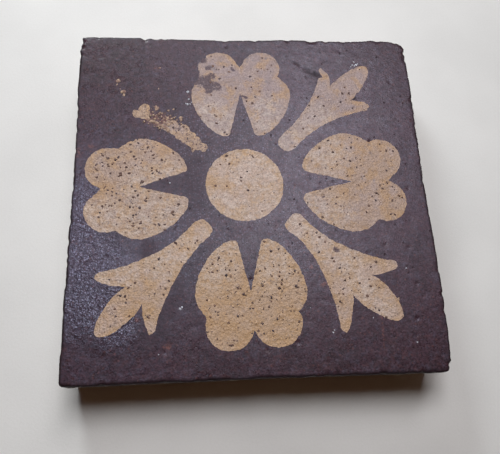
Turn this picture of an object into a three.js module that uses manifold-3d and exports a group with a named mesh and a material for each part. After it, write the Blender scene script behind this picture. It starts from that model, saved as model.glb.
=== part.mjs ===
// A small encaustic floor tile, in millimetres. X runs along the front edge, Y towards the back edge and
// Z up out of the worn face. The origin is the middle of the underside.
import * as THREE from "three";
import { mergeVertices } from "three/addons/utils/BufferGeometryUtils.js";
import Module from "manifold-3d";

// Driving dimensions
const tileWidth = 76;
const tileDepth = 76.8;
const tileThickness = 12.7;
const faceThickness = 4.7; // fine dark clay, which holds the inlays
const backingThickness = 2.6; // fine clay under the coarse core
const inlayDepth = 2;
const remnantDepth = 0.9; // a worn inlay is thinner
const inlayGap = 0.3; // between an inlay and the wall of its recess
const wornArris = 0.5; // the rounding of the top edge
const arrisBulge = 0.3; // where that rounding's middle lies, as a share of its size
const undercut = 0.6; // how far each side draws in at the underside

// How far each corner of the face is rounded, by wear and handling
const cornerRadii = { backRight: 2, backLeft: 0.8, frontLeft: 0.9, frontRight: 0.8 };
const cornerSteps = 5;

// Keying holes in the underside
const keyingRows = 4;
const keyingPitch = 16;
const keyingRadius = 2.6;
const keyingDepth = 1.7;
const keyingSides = 16;

// The flower's middle on the tile, and its disc
const flowerCentre = new THREE.Vector2(-1.9, 1.5);
const discRadius = 8.3;
const discSides = 56;

// A petal points out from the flower's middle. Its outline is given as [outwards, sideways] places, with
// sideways positive on the left of someone who looks outwards. Each lobe has a blunt tip near the disc, a
// widest place, a shoulder, and a round outer end: its centre and radius.
const petals = {
  petal_right: {
    heading: 0,
    side: 0.5,
    notch: [23.3, -0.1],
    cusp: [31.6, 0.1],
    left: { tip: [12.8, 3.4], widest: [22.9, 11.6], shoulder: [28.3, 9.4], round: [30.3, 5.3, 4.8] },
    right: { tip: [12.6, -3.6], widest: [23.2, -11.5], shoulder: [28.7, -8.9], round: [30.3, -4.5, 4.8] },
  },
  petal_back: {
    heading: 90,
    side: 0,
    notch: [22.2, 0.1],
    cusp: [29.3, 0],
    left: { tip: [11.5, 3.7], widest: [21.8, 11.1], shoulder: [26.4, 9.4], round: [28.5, 5, 4.6] },
    right: { tip: [11.6, -3.6], widest: [22.5, -11.3], shoulder: [26.8, -8.6], round: [28.9, -4.9, 4.35] },
  },
  petal_left: {
    heading: 180,
    side: 0.4,
    notch: [22.3, -0.1],
    cusp: [30.1, 0.2],
    left: { tip: [12, 3.3], widest: [22.4, 11.4], shoulder: [26.7, 9.5], round: [28.7, 5.2, 4.6] },
    right: { tip: [12.3, -4.2], widest: [21.9, -11.3], shoulder: [26.9, -8.9], round: [28.9, -4.4, 4.7] },
  },
  petal_front: {
    heading: 270,
    side: 0.4,
    notch: [23.2, -0.1],
    cusp: [30.8, 0.3],
    left: { tip: [12.2, 3.4], widest: [23.4, 11.3], shoulder: [27.4, 9.3], round: [29.3, 5, 4.9] },
    right: { tip: [12.4, -3.4], widest: [23.4, -11.2], shoulder: [28.2, -9], round: [29.8, -4.5, 4.8] },
  },
};
const tipLength = 0.9; // from a lobe's tip back to its notch edge, outwards and sideways
const tipWidth = 1;
const tipFullness = 0.8; // how squarely an edge turns, from 0, straight
const lobeFullness = 0.42;
const shoulderFullness = 0.45;

// A sprig runs out along a diagonal from the butt of its stem. Each side has the outer and inner ends of
// its leaf's round tip, the notch beside the middle leaf and that leaf's half width.
const sprigs = {
  sprig_front_right: {
    heading: -45,
    butt: [9.3, -7.95],
    buttRound: 0.35,
    left: { bend: 1.8, tip: [22.2, 8.3], inner: [23, 7], notch: [20.2, 2.5], leafHalf: 3 },
    right: { bend: 2.2, tip: [22.9, -10.3], inner: [23.7, -9.3], notch: [19.9, -3.3], leafHalf: 3.4 },
    leafEnd: [30.3, -0.2],
  },
  sprig_front_left: {
    heading: 225,
    butt: [-8.55, -9.2],
    buttRound: 0.9,
    left: { bend: 2.2, tip: [22.5, 7.8], inner: [23, 6.8], notch: [20, 2.2], leafHalf: 2.8 },
    right: { bend: 2.1, tip: [21.9, -8.4], inner: [22.8, -7.2], notch: [20, -2.6], leafHalf: 2.75 },
    leafEnd: [30.2, 0.3],
  },
  sprig_back_right: {
    heading: 45,
    butt: [9.4, 9.4],
    buttRound: 1.35,
    left: {
      bend: 2.2,
      tip: [18.3, 5.7],
      worn: [[19.3, 5.2], [19.6, 6.2], [20.2, 7.2], [20.9, 7.2]],
      inner: [20.6, 4.6],
      notch: [18.6, 2.5],
      leafHalf: 2.4,
    },
    right: { bend: 2.3, tip: [20, -7.6], inner: [21.4, -6.4], notch: [19, -3.2], leafHalf: 3.2 },
    leafEnd: [28.9, -0.3],
  },
};
const stemHalf = 2;
const buttStart = 0.4; // where the round end of the stem begins
const flareStart = 3.8; // where a stem's sides start to flare, and how far along their curve bends
const flareBend = 11.7;
const leafTipRound = 0.6;
const innerEdgeBend = { outwards: 0.63, sideways: 0.4 }; // of a side leaf, from its notch to its tip
const leafSwell = 2.7; // how far past its notch the middle leaf spreads
const leafSwellAt = 0.3; // where along its side it is widest
const leafEndHalf = 2.2; // how broad its blunt end is

// What is left of the fourth sprig, on the tile itself
const remnants = {
  sprig_back_left_stem: [
    [-12.9, 9.2], [-13.7, 10.5], [-15, 11.2], [-16.3, 12.4], [-17.1, 13.4], [-19, 14.4], [-20.5, 15.7],
    [-19.2, 16.1], [-17.3, 16.9], [-16.3, 16.7], [-15.6, 15.7], [-14.4, 15.8], [-13.3, 14.6],
    [-11.9, 13.3], [-11, 12.3], [-10.5, 11.3], [-9.7, 10.2], [-10.3, 9.4], [-11.6, 9.7],
  ],
  sprig_back_left_leaf: [
    [-26.3, 18.5], [-25.5, 17.8], [-24.3, 17.5], [-23.2, 17.1], [-22.5, 17.4], [-22.3, 19.6],
    [-22.6, 20.7], [-23.6, 20.8], [-24.3, 20.3], [-24.8, 19.4], [-25.8, 19.4],
  ],
};

// Fired clays
const chocolateClay = new THREE.MeshStandardMaterial({ color: 0x4b3c42, roughness: 0.55, metalness: 0 });
const buffClay = new THREE.MeshStandardMaterial({ color: 0xbe9a6e, roughness: 0.65, metalness: 0 });
const coreClay = new THREE.MeshStandardMaterial({ color: 0x8d745f, roughness: 0.95, metalness: 0 });
const backingClay = new THREE.MeshStandardMaterial({ color: 0x7a5f50, roughness: 0.9, metalness: 0 });

const wasm = await Module();
wasm.setup();

const tile = new THREE.Group();
tile.name = "encaustic_tile";

// The layers of the body

// A rectangle with one radius per corner, drawn in from the full size by an inset
function tileOutline(inset) {
  const halfWidth = tileWidth / 2 - inset;
  const halfDepth = tileDepth / 2 - inset;
  const corners = [
    { x: 1, y: 1, radius: cornerRadii.backRight },
    { x: -1, y: 1, radius: cornerRadii.backLeft },
    { x: -1, y: -1, radius: cornerRadii.frontLeft },
    { x: 1, y: -1, radius: cornerRadii.frontRight },
  ];
  return corners.flatMap(({ x, y, radius }, corner) => {
    const centre = new THREE.Vector2(x * (halfWidth - radius), y * (halfDepth - radius));
    return Array.from({ length: cornerSteps + 1 }, (_, step) => {
      const angle = (corner + step / cornerSteps) * (Math.PI / 2);
      return new THREE.Vector2(Math.cos(angle), Math.sin(angle)).multiplyScalar(radius).add(centre);
    });
  });
}

// A closed body through outlines at rising heights, with as many points in each
function stackedSolid(levels) {
  const count = levels[0].outline.length;
  const vertices = levels.flatMap(({ outline, z }) => outline.flatMap((point) => [point.x, point.y, z]));
  const faces = [];
  for (let level = 0; level + 1 < levels.length; level++) {
    for (let i = 0; i < count; i++) {
      const low = level * count + i;
      const lowNext = level * count + ((i + 1) % count);
      faces.push(low, lowNext, lowNext + count, low, lowNext + count, low + count);
    }
  }
  const top = (levels.length - 1) * count;
  for (const [a, b, c] of THREE.ShapeUtils.triangulateShape(levels[0].outline, [])) {
    faces.push(c, b, a);
    faces.push(top + a, top + b, top + c);
  }
  const geometry = new THREE.BufferGeometry();
  geometry.setAttribute("position", new THREE.Float32BufferAttribute(vertices, 3));
  geometry.setIndex(faces);
  return geometry;
}

const faceBottom = tileThickness - faceThickness;
const drawnIn = (z) => undercut * (1 - z / faceBottom); // the sides lean in below the face layer

function layer(bottom, top) {
  return stackedSolid([
    { outline: tileOutline(drawnIn(bottom)), z: bottom },
    { outline: tileOutline(drawnIn(top)), z: top },
  ]);
}

const facePlate = stackedSolid([
  { outline: tileOutline(0), z: faceBottom },
  { outline: tileOutline(0), z: tileThickness - wornArris },
  { outline: tileOutline(wornArris * arrisBulge), z: tileThickness - wornArris * arrisBulge },
  { outline: tileOutline(wornArris), z: tileThickness },
]);

// Cutting

function toSolid(geometry) {
  const bare = geometry.clone();
  bare.deleteAttribute("normal");
  bare.deleteAttribute("uv");
  const merged = mergeVertices(bare);
  return new wasm.Manifold(
    new wasm.Mesh({
      numProp: 3,
      vertProperties: merged.attributes.position.array,
      triVerts: new Uint32Array(merged.index.array),
    }),
  );
}

function cutFrom(geometry, cutters) {
  const cut = cutters.reduce((solid, cutter) => solid.subtract(toSolid(cutter)), toSolid(geometry)).getMesh();
  const result = new THREE.BufferGeometry();
  result.setAttribute("position", new THREE.BufferAttribute(cut.vertProperties, 3));
  result.setIndex(new THREE.BufferAttribute(cut.triVerts, 1));
  result.computeVertexNormals();
  return result;
}

// Outlines of the inlays

// Straight steps along each curve
const steps = { tip: 3, side: 12, waist: 5, endRound: 14, flare: 9, innerEdge: 4, leaf: 10, butt: 6 };

const toPoint = ([x, y]) => new THREE.Vector2(x, y);

function mix(from, to, outwards, sideways = outwards) {
  return new THREE.Vector2(
    THREE.MathUtils.lerp(from.x, to.x, outwards),
    THREE.MathUtils.lerp(from.y, to.y, sideways),
  );
}

// One lobe of a petal, from the notch round to just before the outer cusp
function lobeOutline(lobe, notch, cusp) {
  const tip = toPoint(lobe.tip);
  const widest = toPoint(lobe.widest);
  const shoulder = toPoint(lobe.shoulder);
  const [roundX, roundY, roundRadius] = lobe.round;
  const notchEdge = new THREE.Vector2(tip.x + tipLength, tip.y - Math.sign(tip.y) * tipWidth);
  const tipCurve = new THREE.QuadraticBezierCurve(notchEdge, mix(tip, notchEdge, 0, tipFullness), tip);
  const side = new THREE.CubicBezierCurve(
    tip,
    mix(tip, widest, 0, lobeFullness),
    mix(widest, tip, lobeFullness, 0),
    widest,
  );
  const waist = new THREE.QuadraticBezierCurve(widest, mix(widest, shoulder, shoulderFullness, 0), shoulder);
  const start = Math.atan2(shoulder.y - roundY, shoulder.x - roundX);
  const end = Math.atan2(cusp.y - roundY, cusp.x - roundX);
  const endRound = Array.from({ length: steps.endRound - 1 }, (_, step) => {
    const angle = THREE.MathUtils.lerp(start, end, (step + 1) / steps.endRound);
    return new THREE.Vector2(roundX + roundRadius * Math.cos(angle), roundY + roundRadius * Math.sin(angle));
  });
  return [
    notch,
    ...tipCurve.getPoints(steps.tip),
    ...side.getPoints(steps.side).slice(1),
    ...waist.getPoints(steps.waist).slice(1),
    ...endRound,
  ];
}

function petalOutline({ side, notch, cusp, left, right }) {
  const notchPoint = toPoint(notch);
  const cuspPoint = toPoint(cusp);
  const leftLobe = lobeOutline(left, notchPoint, cuspPoint);
  const rightLobe = lobeOutline(right, notchPoint, cuspPoint).slice(1).reverse();
  return [...leftLobe, cuspPoint, ...rightLobe].map((point) => new THREE.Vector2(point.x, point.y + side));
}

// The second control of a cubic curve that is widest at the swell, from its other three sideways places
function swellControl(width, first, third, last) {
  const before = 1 - leafSwellAt;
  const others = before ** 3 * first + 3 * before * leafSwellAt ** 2 * third + leafSwellAt ** 3 * last;
  return (width - others) / (3 * before ** 2 * leafSwellAt);
}

// One side of a sprig, from where its stem flares out to the middle leaf's end
function sprigSide({ bend, tip, inner, notch, leafHalf, worn = [] }, leafEnd) {
  const turn = Math.sign(notch[1]);
  const tipPoint = toPoint(tip);
  const innerPoint = toPoint(inner);
  const notchPoint = toPoint(notch);
  const endPoint = toPoint(leafEnd);
  const flare = new THREE.QuadraticBezierCurve(
    new THREE.Vector2(flareStart, turn * stemHalf),
    new THREE.Vector2(flareBend, turn * bend),
    tipPoint,
  );
  const across = innerPoint.clone().sub(tipPoint).normalize();
  const outwards = new THREE.Vector2(-across.y, across.x).multiplyScalar(turn * leafTipRound);
  const tipEdge = worn.length > 0 ? worn.map(toPoint) : [mix(tipPoint, innerPoint, 0.5).add(outwards)];
  const bendPoint = mix(notchPoint, innerPoint, innerEdgeBend.outwards, innerEdgeBend.sideways);
  const innerEdge = new THREE.QuadraticBezierCurve(innerPoint, bendPoint, notchPoint);
  const endShoulder = endPoint.y + turn * leafEndHalf;
  const swell = swellControl(turn * leafHalf, notchPoint.y, endShoulder, endPoint.y);
  const leaf = new THREE.CubicBezierCurve(
    notchPoint,
    new THREE.Vector2(notchPoint.x + leafSwell, swell),
    new THREE.Vector2(endPoint.x, endShoulder),
    endPoint,
  );
  return [
    ...flare.getPoints(steps.flare),
    ...tipEdge,
    ...innerEdge.getPoints(steps.innerEdge),
    ...leaf.getPoints(steps.leaf).slice(1),
  ];
}

function sprigOutline({ buttRound, left, right, leafEnd }) {
  const buttControl = buttStart - (buttRound + buttStart) / 0.75; // a cubic reaches 0.75 of its controls
  const butt = new THREE.CubicBezierCurve(
    new THREE.Vector2(buttStart, stemHalf),
    new THREE.Vector2(buttControl, stemHalf),
    new THREE.Vector2(buttControl, -stemHalf),
    new THREE.Vector2(buttStart, -stemHalf),
  );
  const rightSide = sprigSide(right, leafEnd);
  const leftSide = sprigSide(left, leafEnd).slice(0, -1).reverse();
  return [...butt.getPoints(steps.butt), ...rightSide, ...leftSide];
}

function discOutline() {
  return Array.from({ length: discSides }, (_, i) => {
    const angle = (i / discSides) * 2 * Math.PI;
    return new THREE.Vector2(Math.cos(angle), Math.sin(angle)).multiplyScalar(discRadius);
  });
}

const sharpestCorner = 0.15; // as the cosine of half its turn
const leastClearance = 0.9; // of the gap
const leastStep = 0.08;

// The distance from a point to the nearest side of an outline
function clearance(point, outline) {
  const distances = outline.map((start, i) => {
    const side = outline[(i + 1) % outline.length].clone().sub(start);
    const along = point.clone().sub(start).dot(side) / side.lengthSq();
    return start.clone().addScaledVector(side, THREE.MathUtils.clamp(along, 0, 1)).distanceTo(point);
  });
  return Math.min(...distances);
}

// An outline moved outwards all round by a gap, with its corners kept sharp. Points that would fold over
// each other in a notch, or lie almost on each other, are left out.
function grown(outline, gap) {
  const clockwise = THREE.ShapeUtils.isClockWise(outline) ? -1 : 1;
  const moved = outline.map((point, i) => {
    const before = outline.at(i - 1);
    const after = outline[(i + 1) % outline.length];
    const edgeIn = point.clone().sub(before).normalize();
    const edgeOut = after.clone().sub(point).normalize();
    const normalIn = new THREE.Vector2(edgeIn.y, -edgeIn.x).multiplyScalar(clockwise);
    const normalOut = new THREE.Vector2(edgeOut.y, -edgeOut.x).multiplyScalar(clockwise);
    const middle = normalIn.clone().add(normalOut).normalize();
    return point.clone().addScaledVector(middle, gap / Math.max(middle.dot(normalIn), sharpestCorner));
  });
  const clear = moved.filter((point) => clearance(point, outline) > leastClearance * gap);
  return clear.filter((point, i) => point.distanceTo(clear.at(i - 1)) > leastStep);
}

// Inlays and their recesses

const recesses = [];
const cutAbove = 1; // how far a recess's cutter stands out of the face

function addInlay(name, outline, { x = 0, y = 0, heading = 0, depth = inlayDepth } = {}) {
  const place = new THREE.Group();
  place.position.set(x, y, tileThickness - depth);
  place.rotation.z = THREE.MathUtils.degToRad(heading);
  place.updateMatrix();
  const body = new THREE.ExtrudeGeometry(new THREE.Shape(outline), { depth, bevelEnabled: false });
  const inlay = new THREE.Mesh(body, buffClay);
  inlay.name = name;
  place.add(inlay);
  tile.add(place);
  const recess = new THREE.ExtrudeGeometry(new THREE.Shape(grown(outline, inlayGap)), {
    depth: depth + cutAbove,
    bevelEnabled: false,
  });
  recesses.push(recess.applyMatrix4(place.matrix));
}

addInlay("centre_disc", discOutline(), { x: flowerCentre.x, y: flowerCentre.y });

for (const [name, petal] of Object.entries(petals)) {
  addInlay(name, petalOutline(petal), { x: flowerCentre.x, y: flowerCentre.y, heading: petal.heading });
}

for (const [name, sprig] of Object.entries(sprigs)) {
  addInlay(name, sprigOutline(sprig), {
    x: flowerCentre.x + sprig.butt[0],
    y: flowerCentre.y + sprig.butt[1],
    heading: sprig.heading,
  });
}

for (const [name, points] of Object.entries(remnants)) {
  addInlay(name, points.map(toPoint), { depth: remnantDepth });
}

// The body's meshes

function addLayer(name, geometry, clay) {
  const mesh = new THREE.Mesh(geometry, clay);
  mesh.name = name;
  tile.add(mesh);
}

const keyingHoles = [];
for (let row = 0; row < keyingRows; row++) {
  for (let column = 0; column < keyingRows; column++) {
    const hole = new THREE.CylinderGeometry(keyingRadius, keyingRadius, 2 * keyingDepth, keyingSides);
    hole.rotateX(Math.PI / 2);
    const middle = (keyingRows - 1) / 2;
    hole.translate((column - middle) * keyingPitch, (row - middle) * keyingPitch, 0);
    keyingHoles.push(hole);
  }
}

addLayer("face_layer", cutFrom(facePlate, recesses), chocolateClay);
addLayer("core_layer", layer(backingThickness, faceBottom), coreClay);
addLayer("backing_layer", cutFrom(layer(0, backingThickness), keyingHoles), backingClay);

export default tile;
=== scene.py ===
import math

import bmesh
import bpy
import numpy as np
from mathutils import Euler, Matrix, Vector, geometry, kdtree


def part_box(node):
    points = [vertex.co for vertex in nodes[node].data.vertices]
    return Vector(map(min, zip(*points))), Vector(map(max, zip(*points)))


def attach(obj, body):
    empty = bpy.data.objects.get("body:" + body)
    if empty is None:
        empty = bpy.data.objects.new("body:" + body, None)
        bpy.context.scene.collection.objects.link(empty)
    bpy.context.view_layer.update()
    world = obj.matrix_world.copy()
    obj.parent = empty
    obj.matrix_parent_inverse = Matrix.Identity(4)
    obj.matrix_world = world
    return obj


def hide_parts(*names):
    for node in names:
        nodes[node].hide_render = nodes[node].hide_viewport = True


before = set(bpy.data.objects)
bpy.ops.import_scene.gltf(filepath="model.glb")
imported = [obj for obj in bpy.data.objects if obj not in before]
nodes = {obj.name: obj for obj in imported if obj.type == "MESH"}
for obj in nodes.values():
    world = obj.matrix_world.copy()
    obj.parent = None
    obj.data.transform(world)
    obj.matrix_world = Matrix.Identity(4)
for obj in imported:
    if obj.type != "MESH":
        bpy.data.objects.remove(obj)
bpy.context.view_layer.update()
print("frame loaded:", len(nodes), "nodes")

# Lengths are in millimetres, in the frame's own axes, until a mesh is made in metres.
mm = 0.001
sharpAngle = 50  # degrees from which an edge is shaded sharp
faceLow, faceHigh = (np.array(corner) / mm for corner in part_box("face_layer"))
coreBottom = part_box("core_layer")[0].z / mm
topHeight = faceHigh[2]
faceBottom = faceLow[2]
tileSize = faceHigh[:2] - faceLow[:2]
inlayNames = [name for name in sorted(nodes) if not name.endswith("_layer")]

# Places read off the tile are in hundredths of its side, from its middle.
hundredth = tileSize / 100


# Noise and outlines

def smoothNoise(x, y, pitch, seed):
    # repeatable values from -1 to 1 that change over about one pitch
    cells = 256
    random = np.random.default_rng(seed)
    values = random.uniform(-1, 1, (cells, cells))
    turn = random.uniform(0, 2 * np.pi)
    across = (x * math.cos(turn) - y * math.sin(turn)) / pitch
    up = (x * math.sin(turn) + y * math.cos(turn)) / pitch
    column = np.floor(across).astype(int)
    row = np.floor(up).astype(int)
    easeX = (across - column) ** 2 * (3 - 2 * (across - column))
    easeY = (up - row) ** 2 * (3 - 2 * (up - row))

    def valueAt(right, above):
        return values[(column + right) % cells, (row + above) % cells]

    near = valueAt(0, 0) * (1 - easeX) + valueAt(1, 0) * easeX
    far = valueAt(0, 1) * (1 - easeX) + valueAt(1, 1) * easeX
    return near * (1 - easeY) + far * easeY


def layeredNoise(x, y, layers):
    # each layer has a pitch, a depth and a seed
    return sum(depth * smoothNoise(x, y, pitch, seed) for pitch, depth, seed in layers)


def easeBetween(value, low, high):
    share = np.clip((value - low) / (high - low), 0, 1)
    return share * share * (3 - 2 * share)


def loopLength(loop):
    return np.linalg.norm(np.roll(loop, -1, 0) - loop, axis=1).sum()


def signedArea(loop):
    ahead = np.roll(loop, -1, 0)
    return (loop[:, 0] * ahead[:, 1] - loop[:, 1] * ahead[:, 0]).sum() / 2


def outwardNormals(loop):
    # for an anticlockwise loop
    along = np.roll(loop, -1, 0) - np.roll(loop, 1, 0)
    along /= np.linalg.norm(along, axis=1)[:, None]
    return np.stack([along[:, 1], -along[:, 0]], 1)


def flatLoops(node, height):
    # the anticlockwise loops round a CAD node's flat face at a height, longest first
    shape = bmesh.new()
    shape.from_mesh(nodes[node].data)
    bmesh.ops.remove_doubles(shape, verts=shape.verts, dist=1e-6)
    shape.verts.index_update()
    neighbours = {}
    for edge in shape.edges:
        level = all(abs(vert.co.z / mm - height) < 0.01 for vert in edge.verts)
        flat = [abs(face.normal.z) > 0.99 for face in edge.link_faces]
        if level and any(flat) and not all(flat):
            first, second = (vert.index for vert in edge.verts)
            neighbours.setdefault(first, []).append(second)
            neighbours.setdefault(second, []).append(first)
    shape.verts.ensure_lookup_table()
    loops = []
    while neighbours:
        path = [next(iter(neighbours))]
        ahead = neighbours.pop(path[-1])
        while any(index in neighbours for index in ahead):
            path.append(next(index for index in ahead if index in neighbours))
            ahead = neighbours.pop(path[-1])
        loop = np.array([shape.verts[index].co[:2] for index in path]) / mm
        loops.append(loop if signedArea(loop) > 0 else loop[::-1])
    shape.free()
    return sorted(loops, key=loopLength, reverse=True)


def curveThrough(points, behind, ahead, step):
    # evenly spaced places on a smooth curve through the points, without its last one
    full = np.vstack([behind, points, ahead])
    gaps = np.linalg.norm(np.diff(full, axis=0), axis=1)[:, None]
    slopes = np.diff(full, axis=0) / gaps
    tangents = (gaps[:-1] * slopes[1:] + gaps[1:] * slopes[:-1]) / (gaps[:-1] + gaps[1:])
    share = np.linspace(0, 1, 8, endpoint=False)[:, None]
    pieces = []
    for i in range(len(points) - 1):
        fromPoint = points[i] * (2 * share**3 - 3 * share**2 + 1)
        toPoint = points[i + 1] * (3 * share**2 - 2 * share**3)
        leaving = tangents[i] * gaps[i + 1] * (share**3 - 2 * share**2 + share)
        arriving = tangents[i + 1] * gaps[i + 1] * (share**3 - share**2)
        pieces.append(fromPoint + toPoint + leaving + arriving)
    fine = np.vstack([*pieces, points[-1:]])
    lengths = np.append(0, np.cumsum(np.linalg.norm(np.diff(fine, axis=0), axis=1)))
    count = max(round(lengths[-1] / step), 1)
    places = np.linspace(0, lengths[-1], count, endpoint=False)
    return np.stack([np.interp(places, lengths, fine[:, axis]) for axis in (0, 1)], 1)


def smoothLoop(loop, step, cornerTurn=65, longSide=4):
    # a finer loop through the same points; long sides stay as they are, and so do corners that
    # turn by more than cornerTurn degrees
    before = loop - np.roll(loop, 1, 0)
    after = np.roll(loop, -1, 0) - loop
    cross = before[:, 0] * after[:, 1] - before[:, 1] * after[:, 0]
    turn = np.degrees(np.abs(np.arctan2(cross, (before * after).sum(1))))
    longest = np.maximum(np.linalg.norm(before, axis=1), np.linalg.norm(after, axis=1))
    corners = np.flatnonzero((turn > cornerTurn) | (longest > longSide))
    if len(corners) == 0:
        closed = np.vstack([loop, loop[:1]])
        return curveThrough(closed, loop[-1:], loop[1:2], step)
    loop = np.roll(loop, -corners[0], 0)
    stops = np.append(corners - corners[0], len(loop))
    closed = np.vstack([loop, loop[:1]])
    runs = []
    for start, end in zip(stops[:-1], stops[1:]):
        points = closed[start : end + 1]
        behind = 2 * points[:1] - points[1:2]
        ahead = 2 * points[-1:] - points[-2:-1]
        runs.append(curveThrough(points, behind, ahead, step))
    return np.vstack(runs)


def insideLoop(points, loop):
    inside = np.zeros(len(points), bool)
    x, y = points.T
    for (startX, startY), (endX, endY) in zip(loop, np.roll(loop, -1, 0)):
        if startY != endY:
            crosses = (startY > y) != (endY > y)
            inside ^= crosses & (x < (endX - startX) * (y - startY) / (endY - startY) + startX)
    return inside


def distanceTo(points, targets):
    # from each point to the nearest target
    tree = kdtree.KDTree(len(targets))
    for index, (x, y) in enumerate(targets):
        tree.insert((x, y, 0), index)
    tree.balance()
    found = [tree.find((x, y, 0)) for x, y in points]
    return np.array([distance for _, _, distance in found])


def triangulate(loops, step, seed):
    # points and triangles over the ground in the first loop, with the sides of every loop kept
    rowShare, jitter, clearance = 0.866, 0.16, 0.55  # of a step: between rows, at random, and from the loops
    low = loops[0].min(0)
    high = loops[0].max(0)
    x, y = np.meshgrid(np.arange(low[0], high[0], step), np.arange(low[1], high[1], step * rowShare))
    x[1::2] += step / 2
    grid = np.stack([x.ravel(), y.ravel()], 1)
    grid += np.random.default_rng(seed).uniform(-jitter, jitter, grid.shape) * step
    fixed = np.vstack(loops)
    clear = distanceTo(grid, fixed) > step * clearance
    grid = grid[clear & insideLoop(grid, loops[0])]
    edges = []
    start = 0
    for loop in loops:
        edges += [(start + i, start + (i + 1) % len(loop)) for i in range(len(loop))]
        start += len(loop)
    given = [Vector(point) for point in np.vstack([fixed, grid])]
    points, _, triangles, origins, _, _ = geometry.delaunay_2d_cdt(given, edges, [], 0, 1e-5)
    points = np.array([point[:] for point in points])
    placeOf = np.zeros(len(given), int)
    for place, sources in enumerate(origins):
        placeOf[list(sources)] = place
    rings = np.split(placeOf[: len(fixed)], np.cumsum([len(loop) for loop in loops])[:-1])
    triangles = np.array(triangles)
    a, b, c = (points[triangles[:, corner]] for corner in range(3))
    turned = (b - a)[:, 0] * (c - a)[:, 1] < (b - a)[:, 1] * (c - a)[:, 0]
    triangles[turned] = triangles[turned][:, ::-1]
    middles = (a + b + c) / 3
    inside = insideLoop(middles, loops[0])
    return points, triangles[inside], middles[inside], rings


# Pieces

def addObject(name, data):
    thing = bpy.data.objects.new(name, data)
    bpy.context.scene.collection.objects.link(thing)
    return thing


def addPiece(name, mesh, node=None):
    # a piece of the tile, which stands for a CAD node where one is given
    piece = addObject(name, mesh)
    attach(piece, "root")
    if node:
        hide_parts(node)


class Shell:
    # the points and faces of a mesh, and the marks that materials and modifiers read at each point
    def __init__(self, markNames):
        self.points = []
        self.faces = []
        self.marks = {name: [] for name in markNames}
        self.count = 0

    def add(self, points, **marks):
        for name, values in self.marks.items():
            values.append(np.broadcast_to(marks.get(name, 0.0), len(points)))
        self.points.append(points)
        self.count += len(points)
        return np.arange(self.count - len(points), self.count)

    def addTriangles(self, triangles):
        self.faces += triangles.tolist()

    def bridge(self, lower, upper, inward=False):
        # a band between two anticlockwise rings, which faces away from their middle or inward
        corners = [lower, np.roll(lower, -1), np.roll(upper, -1), upper]
        self.faces += np.stack(corners[::-1] if inward else corners, 1).tolist()

    def addBand(self, ring, points, upwards, inward=False, **marks):
        # a band from a ring to a new one above or below it, which it returns
        added = self.add(points, **marks)
        lower, upper = (ring, added) if upwards else (added, ring)
        self.bridge(lower, upper, inward)
        return added

    def cap(self, ring, facesUp):
        self.faces.append(list(ring) if facesUp else list(ring[::-1]))

    def makeMesh(self, name, change=None):
        points = np.vstack(self.points)
        if change:
            points = change(points)
        mesh = bpy.data.meshes.new(name)
        mesh.from_pydata((points * mm).tolist(), [], self.faces)
        for mark, values in self.marks.items():
            attribute = mesh.attributes.new(mark, "FLOAT", "POINT")
            attribute.data.foreach_set("value", np.concatenate(values).astype(np.float32))
        return mesh

    def makePiece(self, name, material, node, change=None):
        mesh = self.makeMesh(name, change)
        mesh.materials.append(material)
        mesh.shade_smooth()
        mesh.set_sharp_from_angle(angle=math.radians(sharpAngle))
        addPiece(name, mesh, node)


# Materials

def srgb(red, green, blue):
    # a colour as a screen gives it, from 0 to 255, as the linear one that shaders need
    shares = [value / 255 for value in (red, green, blue)]
    linear = [s / 12.92 if s < 0.04045 else ((s + 0.055) / 1.055) ** 2.4 for s in shares]
    return (*linear, 1.0)


class Signal:
    # a node's output, which takes arithmetic
    def __init__(self, tree, socket):
        self.tree = tree
        self.socket = socket

    def maths(self, operation, first, second):
        return addNode(self.tree, "ShaderNodeMath", {"operation": operation}, {0: first, 1: second})

    def __add__(self, other):
        return self.maths("ADD", self, other)

    def __sub__(self, other):
        return self.maths("SUBTRACT", self, other)

    def __rsub__(self, other):
        return self.maths("SUBTRACT", other, self)

    def __mul__(self, other):
        return self.maths("MULTIPLY", self, other)

    def __pow__(self, other):
        return self.maths("POWER", self, other)

    __radd__ = __add__
    __rmul__ = __mul__


def addNode(tree, kind, settings=None, values=None, output=0):
    # a node with its settings made first, then its sockets' values or links
    node = tree.nodes.new(kind)
    for name, setting in (settings or {}).items():
        setattr(node, name, setting)
    for key, value in (values or {}).items():
        if isinstance(value, Signal):
            tree.links.new(value.socket, node.inputs[key])
        else:
            node.inputs[key].default_value = value
    return None if output is None else Signal(tree, node.outputs[output])


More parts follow.
